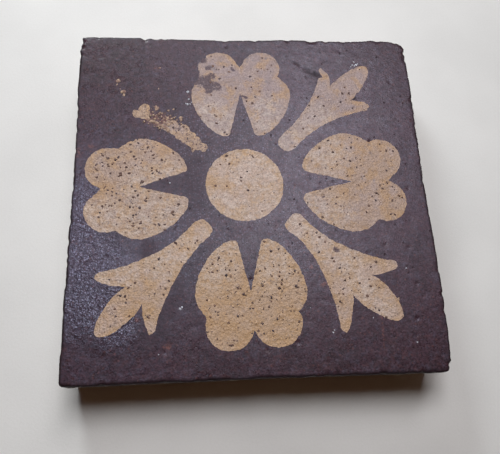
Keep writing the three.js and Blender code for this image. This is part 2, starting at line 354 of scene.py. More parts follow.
class Finish:
    # a material under way, with its colour so far; place is the object's own, in millimetres
    def __init__(self, name, looks, first="body"):
        self.looks = looks
        self.colour = looks[first]
        self.material = bpy.data.materials.new(name)
        self.material.use_nodes = True
        self.tree = self.material.node_tree
        self.tree.nodes.clear()
        values = {0: self.add("ShaderNodeTexCoord", output="Object"), "Scale": 1 / mm}
        self.place = self.add("ShaderNodeVectorMath", {"operation": "SCALE"}, values)

    def add(self, kind, settings=None, values=None, output=0):
        return addNode(self.tree, kind, settings, values, output)

    def scaled(self, sizes, shift):
        values = {0: self.place, 1: sizes, 2: (shift,) * 3}
        return self.add("ShaderNodeVectorMath", {"operation": "MULTIPLY_ADD"}, values)

    def noise(self, pitch, detail=2.0, roughness=0.5, stretch=(1, 1, 1), shift=0.0):
        # from 0 to 1, with features about one pitch across
        vector = self.scaled([1 / pitch / part for part in stretch], shift)
        values = {"Vector": vector, "Scale": 1.0, "Detail": detail, "Roughness": roughness}
        return self.add("ShaderNodeTexNoise", None, values)

    def ease(self, value, low, high):
        values = {"Value": value, "From Min": low, "From Max": high}
        return self.add("ShaderNodeMapRange", {"interpolation_type": "SMOOTHSTEP"}, values)

    def clouds(self, low, high, *noise, **more):
        # noise that is 0 below low and 1 above high
        return self.ease(self.noise(*noise, **more), low, high)

    def speckle(self, pitch, size, share, shift=0.0):
        # specks of a size, in pitches, on a share of the points scattered one pitch apart
        values = {"Vector": self.scaled((1 / pitch,) * 3, shift), "Scale": 1.0}
        distance = self.add("ShaderNodeTexVoronoi", None, values, "Distance")
        colour = Signal(self.tree, distance.socket.node.outputs["Color"])
        chance = self.add("ShaderNodeSeparateColor", None, {0: colour})
        return (1 - self.ease(distance, size * 0.6, size)) * self.ease(chance, 1 - share, 1.001 - share)

    def mark(self, name):
        return self.add("ShaderNodeAttribute", {"attribute_name": name}, None, "Fac")

    def cover(self, share, colour, way="MIX"):
        # lays a share of another colour over the one so far; one of its own looks goes by its name
        colour = self.looks.get(colour, colour)
        settings = {"data_type": "RGBA", "blend_type": way, "clamp_factor": True}
        self.colour = self.add("ShaderNodeMix", settings, {0: share, 6: self.colour, 7: colour}, 2)

    def addMortar(self, more, within=1.0):
        # thin scraped remains of mortar, in the same places on every clay; returns where they are
        held = self.ease(self.noise(4.5, 5, 0.68, shift=20.0) + more, 0.5, 0.62)
        scraped = self.clouds(0.3, 0.6, 0.7, 4, 0.7, shift=25.0)
        remains = held * (scraped * 0.7 + 0.3) * 0.85 * within
        self.cover(remains, coarse["mortar"])
        return remains

    def done(self, roughness, height, bumpDepth, specular=0.5):
        # height is in millimetres times bumpDepth
        values = {"Height": height, "Distance": bumpDepth * mm, "Strength": 1.0}
        normal = self.add("ShaderNodeBump", None, values)
        values = {"Base Color": self.colour, "Roughness": roughness, "Normal": normal,
                  "Specular IOR Level": specular}
        shader = self.add("ShaderNodeBsdfPrincipled", None, values)
        self.add("ShaderNodeOutputMaterial", None, {"Surface": shader}, None)
        return self.material


chocolate = {
    "body": srgb(57, 36, 43),
    "worn": srgb(48, 30, 35),  # broad patches
    "light": srgb(76, 53, 61),  # mottling
    "arris": srgb(34, 27, 30),  # the worn edge, darkened partly with painted shade; also the painted shade in pits and the dark painted flecks
    "reddish": srgb(98, 60, 54),
    # mottling, and the painted sheen on the glossy skin
    "bluish": srgb(92, 90, 108),
    "glint": srgb(138, 134, 156),  # painted glints: pale specks that stand for mirrored highlights
    "side": srgb(84, 66, 62),
    "roughness": 0.3,
    "sideRoughness": 0.8,
    "glossyRoughness": 0.14,
    "specular": 0.22,
}


def makeChocolateClay():
    finish = Finish("chocolate_clay", chocolate)
    finish.cover(finish.clouds(0.38, 0.62, 9, 4, 0.6), "worn")
    finish.cover(finish.clouds(0.4, 0.64, 0.9, 4, 0.65) * 0.35, "light")
    finish.cover(finish.clouds(0.5, 0.7, 1.1, 3, 0.6, shift=30.0) * 0.18, "reddish")
    finish.cover(finish.clouds(0.48, 0.68, 1.0, 3, 0.6, shift=70.0) * 0.2, "bluish")
    darker = finish.clouds(0.56, 0.7, 0.8, 2, 0.6, shift=50.0)
    finish.cover(darker * 0.4, "arris")
    # painted shade in the pinholes, which are also rougher and dipped a little
    pitted = finish.speckle(1.5, 0.19, 0.4, 11.0) * finish.clouds(0.35, 0.6, 0.5, 2)
    finish.cover(pitted * 0.45, "arris")
    polished, gloss, matt = (finish.mark(name) for name in ("polished", "gloss", "matt"))
    # painted sparkle: pale painted glints and dark flecks stand for the sheen broken up over the middle
    finish.cover(polished * finish.speckle(0.45, 0.45, 0.5, 13.0) * 0.25, "glint")
    finish.cover(polished * finish.speckle(0.5, 0.45, 0.5, 17.0) * 0.6, "arris")
    # the glossy skin also gets painted sheen and painted glints
    finish.cover(gloss * 0.3, "bluish")
    finish.cover(gloss * finish.speckle(0.45, 0.45, 0.45, 19.0) * 0.6, "glint")
    finish.cover(matt * 0.4, "worn")
    rusty = finish.mark("reddish") * finish.clouds(0.35, 0.6, 0.7, 3, 0.6)
    finish.cover(rusty + finish.speckle(0.9, 0.3, 0.2) * 0.4, "reddish")
    grain = finish.noise(0.34, 3, 0.6)
    finish.cover(0.5, finish.ease(grain, 0.25, 0.75), "OVERLAY")
    # the rounded top edge is darkened: partly wear, partly painted shade
    ragged = finish.mark("edge") + (finish.noise(0.8, 3, 0.6) - 0.5) * 0.8
    edge = 1 - finish.ease(ragged, 0.1, 0.9)
    finish.cover(edge * 0.7, "arris")
    blotch = finish.mark("dark") * finish.clouds(0.3, 0.6, 1.2, 3)
    finish.cover(blotch * 0.7, "arris")

    # the sides below the worn edge
    side = finish.mark("side")
    below = finish.ease(side, 0, 0.3)
    finish.cover(below * finish.clouds(0.3, 0.66, 1.6, 4, 0.65, shift=80.0), "side")
    smeared = finish.ease(side + finish.noise(2.2, 4, 0.6, stretch=(1, 1, 2.5)) * 0.8, 1.3, 1.38)
    finish.cover(smeared * 0.9, coarse["core"])
    mortar = finish.addMortar(side * 0.04 - 0.05, below)

    patchy = finish.noise(2.6, 3, 0.6) - 0.5
    smoother = gloss * (chocolate["roughness"] - chocolate["glossyRoughness"])
    roughness = chocolate["roughness"] + patchy * 0.3 + (grain - 0.5) * 0.15 - smoother
    roughness += below * (chocolate["sideRoughness"] - chocolate["roughness"]) + matt * 0.11
    roughness += darker * 0.12 + pitted * 0.3 + blotch * 0.25 + edge * 0.2
    height = finish.noise(0.75, 3, 0.6) * (gloss * 1.8 + 0.3)
    height += finish.noise(0.42, 3, 0.7) * (gloss * 0.5 + 0.35) - pitted * 0.4
    height += below * (grain * 0.6 + finish.noise(0.9, 3, 0.6)) + mortar * 2
    return finish.done(roughness, height, 0.07, chocolate["specular"])


buff = {
    "body": srgb(178, 149, 122),
    "ochre": srgb(176, 138, 92),  # patches, and the rim of each inlay
    "pink": srgb(181, 158, 145),  # scoured patches
    # dirt, tinted bluish with painted sheen
    "soiled": srgb(146, 129, 129),
    # painted sheen
    "bloom": srgb(202, 186, 174),
    "paleGrain": srgb(204, 180, 156),
    "brownGrain": srgb(134, 106, 86),
    "grit": srgb(88, 68, 62),
    "stain": srgb(74, 56, 62),
    "smudge": srgb(124, 114, 114),
    "roughness": 0.5,
    "specular": 0.28,
}


def makeBuffClay():
    finish = Finish("buff_clay", buff)
    scoured = finish.mark("scoured")
    pink = finish.ease(finish.noise(4, 4, 0.6) + scoured * 0.3 - 0.05, 0.5, 0.7)
    finish.cover(pink * 0.8, "pink")
    # dirt with painted sheen
    soilAndSheen = finish.mark("soiled") * (finish.noise(3, 3, 0.6, shift=90.0) + 0.5)
    finish.cover(soilAndSheen, "soiled")
    ochre = finish.ease(finish.noise(3, 4, 0.6, shift=40.0) - scoured * 0.1, 0.4, 0.62)
    finish.cover(ochre * 0.55, "ochre")
    rim = 1 - finish.ease(finish.mark("rim") + (finish.noise(1.2, 3) - 0.5) * 1.6, 0.1, 1.7)
    finish.cover(rim * finish.clouds(0.35, 0.65, 6, 2, shift=15.0) * 0.35, "ochre")
    # painted sheen in speckled pale patches
    finish.cover(finish.mark("bloom") * finish.clouds(0.32, 0.74, 1.0, 4, 0.7) * 0.65, "bloom")
    finish.cover(finish.speckle(0.62, 0.4, 0.3, 3.0) * 0.25, "paleGrain")
    finish.cover(finish.speckle(0.55, 0.4, 0.3, 7.0) * 0.25, "brownGrain")
    smudge = finish.speckle(1.5, 0.34, 0.3, 9.0) * finish.clouds(0.4, 0.6, 0.5, 3, 0.7)
    finish.cover(smudge * (soilAndSheen + 0.15), "smudge")
    stain = finish.mark("stain") + (finish.noise(0.9, 5, 0.8) - 0.5) * 2.2
    stain += (finish.noise(0.3, 3, 0.8) - 0.5) * 1.6
    finish.cover(finish.ease(stain, 0.45, 0.9) * 0.9, "stain")
    grain = finish.noise(0.34, 3, 0.7)
    finish.cover(0.32, finish.ease(grain, 0.22, 0.78), "OVERLAY")
    grit = finish.speckle(0.8, 0.26, 0.16) * 0.5 + finish.speckle(1.3, 0.15, 0.4, 5.0) * 0.6
    finish.cover(grit, "grit")
    height = finish.noise(1.2, 3, 0.6) * 1.5 + finish.noise(0.5, 2, 0.6)
    return finish.done(buff["roughness"] + (grain - 0.5) * 0.3, height, 0.16, buff["specular"])


coarse = {
    "core": srgb(150, 124, 100),
    "coreDark": srgb(112, 86, 70),
    "backing": srgb(126, 98, 82),
    "backingDark": srgb(98, 76, 66),
    "grog": srgb(92, 58, 46),
    "paleGrit": srgb(178, 160, 136),
    "mortar": srgb(196, 189, 175),
    "roughness": 0.92,
}


def makeCoreClay():
    finish = Finish("core_clay", coarse, "core")
    finish.cover(finish.clouds(0.35, 0.65, 3.5, 4, 0.6), "coreDark")
    finish.cover(finish.speckle(1.1, 0.34, 0.35) * 0.8, "grog")
    grain = finish.noise(0.35, 4, 0.7)
    finish.cover(0.5, grain, "OVERLAY")
    finish.cover(finish.speckle(0.7, 0.3, 0.3, 4.0) * 0.6, "paleGrit")
    mortar = finish.addMortar(-0.02)
    height = finish.noise(1.2, 4, 0.65) * 3 + mortar * 3 + grain * 1.5
    return finish.done(coarse["roughness"], height, 0.08)


def makeBackingClay():
    finish = Finish("backing_clay", coarse, "backing")
    finish.cover(finish.clouds(0.35, 0.65, 9, 4, 0.6), "backingDark")
    drag = finish.noise(0.8, 3, 0.6, stretch=(9, 0.5, 1))  # the marks of the wire that cut it
    finish.cover(0.3, drag, "OVERLAY")
    grain = finish.noise(0.3, 3, 0.7)
    finish.cover(0.4, grain, "OVERLAY")
    mortar = finish.addMortar(finish.mark("keyed") * 0.1 - 0.01)
    return finish.done(coarse["roughness"], drag * 2 + mortar * 3 + grain, 0.06)


small = {
    "iron": srgb(82, 66, 64),
    "rust": srgb(126, 100, 88),
    "slate": srgb(100, 88, 90),
    "fleck": srgb(182, 156, 134),
    "fleckDull": srgb(140, 114, 104),
    "lime": srgb(222, 226, 236),
    "limeDull": srgb(168, 168, 174),
    "roughness": 0.8,
    "specular": 0.1,
}


def makeSmallFinish(name, bright, dull, pitch):
    finish = Finish(name, small, bright)
    finish.cover(finish.clouds(0.35, 0.65, pitch, 2), dull)
    return finish.done(small["roughness"], finish.noise(0.2, 3, 0.6), 0.03, small["specular"])


chocolateClay = makeChocolateClay()
buffClay = makeBuffClay()
coreClay = makeCoreClay()
backingClay = makeBackingClay()
ironSpeck = makeSmallFinish("iron_speck", "iron", "rust", 2.0)
fineSpeck = makeSmallFinish("fine_speck", "rust", "slate", 2.0)
buffFleck = makeSmallFinish("buff_fleck", "fleck", "fleckDull", 0.6)
limeCrumb = makeSmallFinish("lime_crumb", "lime", "limeDull", 0.6)
print("materials made")


# The tile's outline

outline = {
    "step": 0.36,
    # how far each side stands proud of its straight line: millimetres along it, and how far there
    "back": [(-37, 0.25), (-25, 0.25), (-20, 0), (-8, -0.15), (-2, -0.15), (3, 0.05), (8, 0.2), (14, 0.2),
             (19, 0), (26, 0.05), (28, 0.25), (30.7, 0.5), (33.5, 0.35), (36, 0)],
    "left": [(-38, 0), (-8, 0), (0, -0.25), (16, -0.25), (21, 0), (36, 0.05)],
    "right": [(-37.4, -0.5), (-36.5, -0.3), (-32, -0.1), (-25, 0.1), (-15, 0.2), (-6, 0), (3, -0.15),
              (10, 0.1), (20, 0.2), (32, 0.2)],
    "front": [(-38, 0), (5, 0), (14, 0.15), (24, 0.3), (36, 0.3), (37.5, 0)],
    "waves": [(3.2, 0.08, 21), (1.1, 0.035, 22)],  # pitch, depth and seed of each
    "arris": 0.42,  # the rounding of the top edge
    "arrisChange": (4, 0.16, 31),  # pitch, depth and seed
    "frontArris": (6, 0.2, 32),  # and how much more the front has
    "arrisSteps": 5,
    "sideLevels": 12,
    "footWander": 0.4,  # the share of the wander that is left at the foot
    "footRounding": 0.3,
}
undercut = (tileSize[0] - np.ptp(flatLoops("backing_layer", 0)[0][:, 0])) / 2
perimeter = smoothLoop(flatLoops("face_layer", faceBottom)[0], outline["step"])
perimeterNormals = outwardNormals(perimeter)


def wanderAlong():
    x, y = perimeter.T
    total = np.zeros(len(perimeter))
    for side, facing in {"back": (0, 1), "front": (0, -1), "right": (1, 0), "left": (-1, 0)}.items():
        places, offsets = zip(*outline[side])
        proud = np.interp(y if facing[0] else x, places, offsets)
        total += np.clip(perimeterNormals @ facing, 0, 1) ** 2 * proud
    return total


wander = wanderAlong()


def sideNoise(heights, pitch, seed):
    # noise all round the tile, which changes with the height too
    x, y = perimeter.T
    return smoothNoise(x + 0.83 * heights, y - 0.61 * heights, pitch, seed)


def ringAt(heights, inset=0.0):
    # the tile's outline, with a height of its own at each point
    heights = np.broadcast_to(heights, len(perimeter)).astype(float)
    left = outline["footWander"]
    proud = wander * (left + (1 - left) * heights / topHeight) - inset
    proud -= undercut * np.clip(1 - heights / faceBottom, 0, 1)
    for pitch, depth, seed in outline["waves"]:
        proud += depth * sideNoise(heights, pitch, seed)
    return np.column_stack([perimeter + perimeterNormals * proud[:, None], heights])


def arrisRadii():
    x, y = perimeter.T
    facingFront = np.clip(-perimeterNormals[:, 1], 0, 1) ** 2
    pitch, depth, seed = outline["arrisChange"]
    radii = outline["arris"] + depth * smoothNoise(x, y, pitch, seed)
    pitch, depth, seed = outline["frontArris"]
    return radii + depth * facingFront * np.abs(smoothNoise(x, y, pitch, seed))


radii = arrisRadii()


# The face

face = {
    "pointStep": 0.33,
    "inlayStep": 0.24,  # along the outlines of the inlays
    # the raggedness of those outlines, and below it the relief: pitch, depth and seed of each noise
    "raggedness": [(1.7, 0.06, 41), (0.75, 0.085, 42), (0.42, 0.07, 43)],
    "wornRaggedness": 2.8,  # times that, on what is left of the fourth sprig
    "wornStain": 0.5,  # and how stained that is
    "relief": [(24, 0.05, 51), (2.2, 0.012, 52), (1.1, 0.008, 55)],
    "glossRelief": [(2.2, 0.008, 56), (1.1, 0.014, 53), (0.65, 0.018, 54)],  # of the glossy skin
    # where the outline of an inlay is broken: place in hundredths, half the width and depth in millimetres
    "bites": [(34.9, 35.6, 1.1, 0.3), (32.6, 31.4, 0.6, 0.2), (35.6, 28, 0.4, 0.25),
              (20.9, 13.6, 0.4, 0.3), (-13.2, 43.8, 0.4, 0.5), (-15.6, 39.4, 0.5, 0.35),
              (-15.2, 38, 0.4, 0.3), (-36.4, 14.8, 0.8, 0.2), (-33.8, 15.8, 0.5, 0.25),
              (-44.2, -1.4, 0.6, 0.4), (18.2, 14.2, 0.4, 0.2), (38.4, -7.9, 0.4, 0.2)],
    "darkDepth": 0.06,
    "patchFading": 1.5,  # the width over which a patch ends, as a share of its half width
    "inlaySink": 0.03,  # softer clay wears lower
    "sinkWidth": 0.6,
    "scatteredPits": 110,
    "pitSizes": (0.4, 1.0),
    "pitDepths": (0.03, 0.12),
    "pitReach": 0.6,  # from its middle, as a share of its size
    "seed": 5,
    # pits read off the tile: place in hundredths of the side, size and depth in millimetres
    "pits": [(35.5, 15.1, 1.3, 0.14), (-43.7, -1.2, 1.2, 0.14), (-22, -9.6, 1.2, 0.12),
             (21.8, -17.5, 1.1, 0.12), (-7.3, 10.8, 1.2, 0.12), (19.7, -1.9, 1.1, 0.12),
             (-13, 42.6, 1.3, 0.12), (18.9, -15.1, 1, 0.1)],
}

# Marked places on the face, each a line from one place to another with a half width, all in hundredths of
# the side. The stain, the pale patches of painted sheen and the denser specks are on inlays, and "worn" is
# where crumbs of the fourth sprig are left. The others are on the body: dark, glossy (with painted sheen and
# glints), painted sparkle, matt and reddish.
patches = {
    "stain": [(-16.5, 35.2, -13.2, 35.2, 1.1), (-13.2, 35.2, -11, 36.9, 0.7), (-13.2, 34.6, -9.6, 33.2, 0.9),
              (-13, 34.2, -12, 32.2, 0.8), (-16.4, 42.4, -13.6, 42.4, 0.8), (-12.4, 39.6, -11.6, 39.9, 0.5),
              (-15.6, 38.8, -15.2, 37, 0.5), (-1.9, 29.9, -0.9, 29.6, 0.3), (-4.9, 39.6, -4.4, 38.8, 0.3),
              (21.5, -17.3, 22, -17.6, 0.45), (19.5, -2.1, 20, -1.7, 0.2), (-26.6, 5.9, -25.6, 5.4, 0.2)],
    # painted sheen on the inlays
    "bloom": [(-33, -9, -26, -6, 3), (-44, -5, -43, -7, 1.6), (-25, -19, -20, -16, 3), (-1, 7, 5, 9, 5),
              (14, 9, 22, 11, 3.5), (-13, 23, -9, 20, 3.5), (4, 22, 5, 26, 2.5), (20, 22, 10, 14, 3),
              (-31, 2, -24, 4, 3), (-31, -7, -22, -7, 3), (13, 6, 19, 6, 3), (14, -5, 22, -7, 3),
              (-10, -16, -13, -21, 4), (0, -16, 4, -20, 4), (10, -9, 14, -13, 2.5), (3, 1, 4, -6, 3),
              (-9, -4, -3, -8, 3), (-33, -8, -28, -11, 2.5), (-41, -21, -36, -23, 2.5),
              (-40, -7, -36, -11, 3), (14, -12, 24, -19, 3), (27, -27, 32, -33, 2)],
    "dark": [(14.5, 42, 18, 39.5, 0.2), (18, 39.5, 21.8, 37.4, 0.5), (31.4, 29.6, 32, 29.7, 0.4)],
    "speckled": [(-42, 8, -24, 9, 5), (-32, -4, -26, -8, 4), (-4, -26, 9, -27, 5)],
    # glossy skin, with painted sheen and glints
    "gloss": [(-44, -5, -44.5, -28, 5.5), (-41, -30, -37, -36, 3), (-40, -17, -37, -16, 1.5)],
    # painted sparkle: glints and dark flecks
    "polished": [(-16, -14, 16, 16, 8), (-14, 14, 14, -14, 7), (0, 16, 2, 24, 4), (16, 0, 26, 1, 4)],
    "matt": [(-39, -12, -29, -16.5, 1.6), (-17, 8, -17, -3, 2), (-17, 3, -28, 1.5, 1.5),
             (-22, -27, -27, -36, 2)],
    "reddish": [(-49, 12.4, -49, 11.4, 0.5), (-45.6, 13.9, -45, 13.8, 0.3), (-27.6, 39.1, -27.2, 39, 0.3),
                (17.2, -26.7, 17.8, -26.9, 0.4), (14.4, -21.8, 14.6, -22, 0.3), (-38.1, -35.8, -38, -36, 0.3),
                (-24.2, -41.4, -23.6, -41.6, 0.4), (-31.6, -34.5, -31.2, -34.7, 0.3),
                (32.3, -36.1, 31.9, -43.3, 0.1), (-29, 23, -24.5, 21.5, 1.2)],
    "worn": [(-29.5, 23.2, -25, 22.4, 1.4), (-29, 21.8, -25.5, 20.2, 0.8), (-26.5, 22.6, -23, 21, 1.4)],
}

# How far each inlay is scoured pink, how far it is soiled and tinted with painted sheen, and the share of
# fine specks that it has
clayWear = {
    "centre_disc": (0.6, 0.0, 0.5),
    "petal_front": (-0.2, 0.0, 1.1),
    "petal_left": (0.1, 0.4, 1.3),
    "petal_right": (0.3, 0.35, 0.9),
    "petal_back": (0.6, 0.75, 0.7),
    "sprig_front_left": (0.4, 0.0, 1.0),
    "sprig_front_right": (0.6, -0.1, 1.0),
    "sprig_back_right": (0.7, 0.7, 0.6),
    "sprig_back_left_stem": (0.4, 0.3, 2.5),
    "sprig_back_left_leaf": (0.0, 0.2, 1.0),
}


def patchAt(name, flat):
    # 1 inside a patch, falling to 0 outside it
    value = np.zeros(len(flat))
    for startX, startY, endX, endY, halfWidth in patches[name]:
        start = hundredth * (startX, startY)
        along = hundredth * (endX, endY) - start
        share = np.clip((flat - start) @ along / (along @ along), 0, 1)
        away = np.linalg.norm(flat - start - share[:, None] * along, axis=1) / (hundredth[0] * halfWidth)
        value = np.maximum(value, np.clip(1 - (away - 1) / face["patchFading"], 0, 1))
    return value


def reliefAt(flat):
    x, y = flat.T
    skin = layeredNoise(x, y, face["glossRelief"])
    relief = layeredNoise(x, y, face["relief"]) + skin * patchAt("gloss", flat)
    relief = relief - face["darkDepth"] * patchAt("dark", flat)
    random = np.random.default_rng(face["seed"])
    pits = [(*(hundredth * (x, y)), size, depth) for x, y, size, depth in face["pits"]]
    for _ in range(face["scatteredPits"]):
        place = random.uniform(-0.5, 0.5, 2) * tileSize
        pits.append((*place, random.uniform(*face["pitSizes"]), random.uniform(*face["pitDepths"])))
    for pitX, pitY, size, depth in pits:
        near = np.hypot(x - pitX, y - pitY) / (size * face["pitReach"])
        relief = relief - depth * np.clip(1 - near**2, 0, 1)
    return relief


wornInlays = ["sprig_back_left_leaf", "sprig_back_left_stem"]


def raggedLoop(node):
    loop = smoothLoop(flatLoops(node, topHeight)[0], face["inlayStep"])
    ragged = layeredNoise(*loop.T, face["raggedness"])
    if node in wornInlays:
        ragged *= face["wornRaggedness"]
    for biteX, biteY, halfWidth, depth in face["bites"]:
        away = np.linalg.norm(loop - hundredth * (biteX, biteY), axis=1) / halfWidth
        ragged -= depth * np.clip(1 - away**2, 0, 1)
    return loop + outwardNormals(loop) * ragged[:, None]


inlayLoops = [raggedLoop(name) for name in inlayNames]
border = ringAt(topHeight, inset=radii)[:, :2]
flat, triangles, middles, rings = triangulate([border, *inlayLoops], face["pointStep"], face["seed"])
region = np.zeros(len(triangles), int)  # 0 is the body, and the inlays follow
for number, loop in enumerate(inlayLoops, 1):
    near = np.flatnonzero(((middles >= loop.min(0)) & (middles <= loop.max(0))).all(1))
    region[near[insideLoop(middles[near], loop)]] = number
rimDistance = distanceTo(flat, np.vstack(inlayLoops))
edgeDistance = distanceTo(flat, border) + outline["arris"]
inInlay = np.zeros(len(flat), bool)
inInlay[np.unique(triangles[region > 0])] = True
sink = face["inlaySink"] * easeBetween(rimDistance, 0, face["sinkWidth"]) * inInlay
surface = np.column_stack([flat, topHeight + reliefAt(flat) - sink])
print("face planned:", len(flat), "points,", len(triangles), "triangles")


def addGround(shell, chosen, **marks):
    # adds the chosen triangles of the face to a shell, and returns where each point of the face is in it
    own = triangles[chosen]
    used = np.unique(own)
    places = np.full(len(surface), -1)
    places[used] = shell.add(surface[used], **{name: values[used] for name, values in marks.items()})
    shell.addTriangles(places[own])
    return places


def addPocket(shell, places, number, inward):
    # the side and the flat bottom of an inlay, or of its recess when they face inward
    ring = rings[number]
    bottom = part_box(inlayNames[number - 1])[0].z / mm
    points = np.column_stack([flat[ring], np.full(len(ring), bottom)])
    shell.cap(shell.addBand(places[ring], points, False, inward), inward)


bloom = patchAt("bloom", flat)
for number, name in enumerate(inlayNames, 1):
    shell = Shell(["rim", "stain", "bloom", "scoured", "soiled"])
    stain = np.maximum(patchAt("stain", flat), face["wornStain"] if name in wornInlays else 0)
    scoured, soiled = (np.full(len(flat), share) for share in clayWear[name][:2])
    marks = {"rim": rimDistance, "stain": stain, "bloom": bloom, "scoured": scoured, "soiled": soiled}
    places = addGround(shell, region == number, **marks)
    addPocket(shell, places, number, False)
    shell.makePiece(name + "_inlay", buffClay, name)
print("inlays made")

chips = {
    "scattered": 110,
    "sizes": (0.4, 1.2),
    "depths": (0.04, 0.2),
    "below": (0.1, 0.7),  # how far under the face its middle is, as a share of its size
    "downward": 0.7,  # how far it pushes down for each step in
    "hollowness": 1.5,  # a higher power makes a narrower hollow
    "seed": 61,
    # read off the tile: place in hundredths of the side, size and depth in millimetres
    "placed": [(-49.7, 48.6, 1.3, 0.5), (49.4, -49.2, 1.2, 0.5), (-49.8, 46.5, 0.9, 0.25)],
}


def chipped(points):
    # pushes in the edge round the face where it has lost chips
    random = np.random.default_rng(chips["seed"])
    spots = [(*(hundredth * (x, y)), size, depth) for x, y, size, depth in chips["placed"]]
    for _ in range(chips["scattered"]):
        spot = perimeter[random.integers(len(perimeter))]
        spots.append((*spot, random.uniform(*chips["sizes"]), random.uniform(*chips["depths"])))
    for x, y, size, depth in spots:
        nearest = np.argmin(np.linalg.norm(perimeter - (x, y), axis=1))
        centre = np.array([x, y, topHeight - size * random.uniform(*chips["below"])])
        push = np.append(-perimeterNormals[nearest], -chips["downward"]) * depth
        away = np.linalg.norm(points - centre, axis=1) / size
        share = np.clip(1 - away**2, 0, 1) ** chips["hollowness"]
        points = points + share[:, None] * push
    return points


def makeFaceClay():
    patched = ["dark", "gloss", "polished", "matt", "reddish"]
    shell = Shell(["edge", "side", *patched])
    marks = {name: patchAt(name, flat) for name in patched}
    places = addGround(shell, region == 0, edge=edgeDistance, **marks)
    for number in range(1, len(rings)):
        addPocket(shell, places, number, True)
    ring = places[rings[0]]
    rimRelief = surface[rings[0], 2] - topHeight
    for step in range(1, outline["arrisSteps"] + 1):
        turn = math.pi / 2 * step / outline["arrisSteps"]
        heights = topHeight - radii * (1 - math.cos(turn)) + rimRelief * math.cos(turn)
        inset = radii * (1 - math.sin(turn))
        ring = shell.addBand(ring, ringAt(heights, inset), False, edge=inset)
    sideTop = topHeight - radii
    for share in np.linspace(0, 1, outline["sideLevels"])[1:]:
        ring = shell.addBand(ring, ringAt(sideTop + (faceBottom - sideTop) * share), False, side=share)
    shell.cap(ring, False)
    shell.makePiece("face_clay", chocolateClay, "face_layer", chipped)


makeFaceClay()
print("face clay made")


# Core and backing

core = {
    "levels": 15,
    "bumps": (1.3, 0.16, 71),  # pitch, depth and seed
    "pores": (0.9, 0.2, 72),
    "poreLimit": 0.35,  # of the noise, above which a pore opens
}


def makeCore():
    shell = Shell([])
    x, y = perimeter.T
    bumpPitch, bumpDepth, bumpSeed = core["bumps"]
    porePitch, poreDepth, poreSeed = core["pores"]
    ring = None
    for share in np.linspace(0, 1, core["levels"]):
        height = coreBottom + (faceBottom - coreBottom) * share
        pores = smoothNoise(x - height, y + 0.7 * height, porePitch, poreSeed)
        bumps = bumpDepth * sideNoise(height, bumpPitch, bumpSeed)
        bumps -= poreDepth * np.clip(pores - core["poreLimit"], 0, 1)
        points = ringAt(height)
        points[:, :2] += perimeterNormals * (bumps * math.sin(math.pi * share))[:, None]
        if ring is None:
            ring = shell.add(points)
            shell.cap(ring, False)
        else:
            ring = shell.addBand(ring, points, True)
    shell.cap(ring, True)
    shell.makePiece("core_clay", coreClay, "core_layer")


makeCore()

backing = {
    "pointStep": 0.55,
    "levels": 7,
    "footSteps": (0.4, 0.75, 1.0),  # up the rounding of the foot
    "unevenness": [(9, 0.04, 81), (1.4, 0.03, 82)],  # upwards only, from the plane that the tile lies on
    "holeStep": 0.45,
    # a keying hole from its mouth in: share of its radius, share of its depth
    "holeProfile": [(1.0, 0.08), (0.985, 0.5), (0.96, 0.85), (0.86, 1.0), (0.55, 0.97), (0.25, 1.02)],
    "holeMouth": 1.05,
    "holeRoughness": [(0.9, 0.04, 83)],
    "seed": 8,
}


def resized(loop, share):
    return loop.mean(0) + (loop - loop.mean(0)) * share


def makeBacking():
    shell = Shell(["keyed"])
    loops = flatLoops("backing_layer", 0)[1:]
    holes = [smoothLoop(loop, backing["holeStep"]) for loop in loops]
    mouths = [resized(hole, backing["holeMouth"]) for hole in holes]
    foot = ringAt(0, outline["footRounding"])[:, :2]
    plan, sheet, middles, rings = triangulate([foot, *mouths], backing["pointStep"], backing["seed"])
    for mouth in mouths:
        keep = ~insideLoop(middles, mouth)
        sheet, middles = sheet[keep], middles[keep]
    x, y = plan.T
    lift = sum(depth * (1 + smoothNoise(x, y, pitch, seed)) for pitch, depth, seed in backing["unevenness"])
    lift[rings[0]] = 0
    places = shell.add(np.column_stack([plan, lift]))
    shell.addTriangles(places[sheet][:, ::-1])
    vertices = nodes["backing_layer"].data.vertices
    holeDepth = max(vertex.co.z for vertex in vertices if inKeyingHole(vertex, loops)) / mm
    for hole, mouthRing in zip(holes, rings[1:]):
        ring = places[mouthRing]
        for radiusShare, depthShare in backing["holeProfile"]:
            around = resized(hole, radiusShare)
            heights = holeDepth * depthShare + layeredNoise(*around.T, backing["holeRoughness"])
            ring = shell.addBand(ring, np.column_stack([around, heights]), True, True, keyed=1.0)
        shell.cap(ring, False)
    ring = places[rings[0]]
    rounding = outline["footRounding"]
    for step in backing["footSteps"]:
        points = ringAt(rounding * (1 - math.sqrt(1 - step**2)), rounding * (1 - step))
        ring = shell.addBand(ring, points, True)
    for share in np.linspace(0, 1, backing["levels"])[1:]:
        ring = shell.addBand(ring, ringAt(rounding + (coreBottom - rounding) * share), True)
    shell.cap(ring, True)
    shell.makePiece("backing_clay", backingClay, "backing_layer")


def inKeyingHole(vertex, loops):
    reach = max(np.linalg.norm(loop[0] - loop.mean(0)) for loop in loops) + 0.05
    place = np.array(vertex.co[:2]) / mm
    return min(np.linalg.norm(place - loop.mean(0)) for loop in loops) < reach


makeBacking()
print("core and backing made")


# Specks, flecks and crumbs

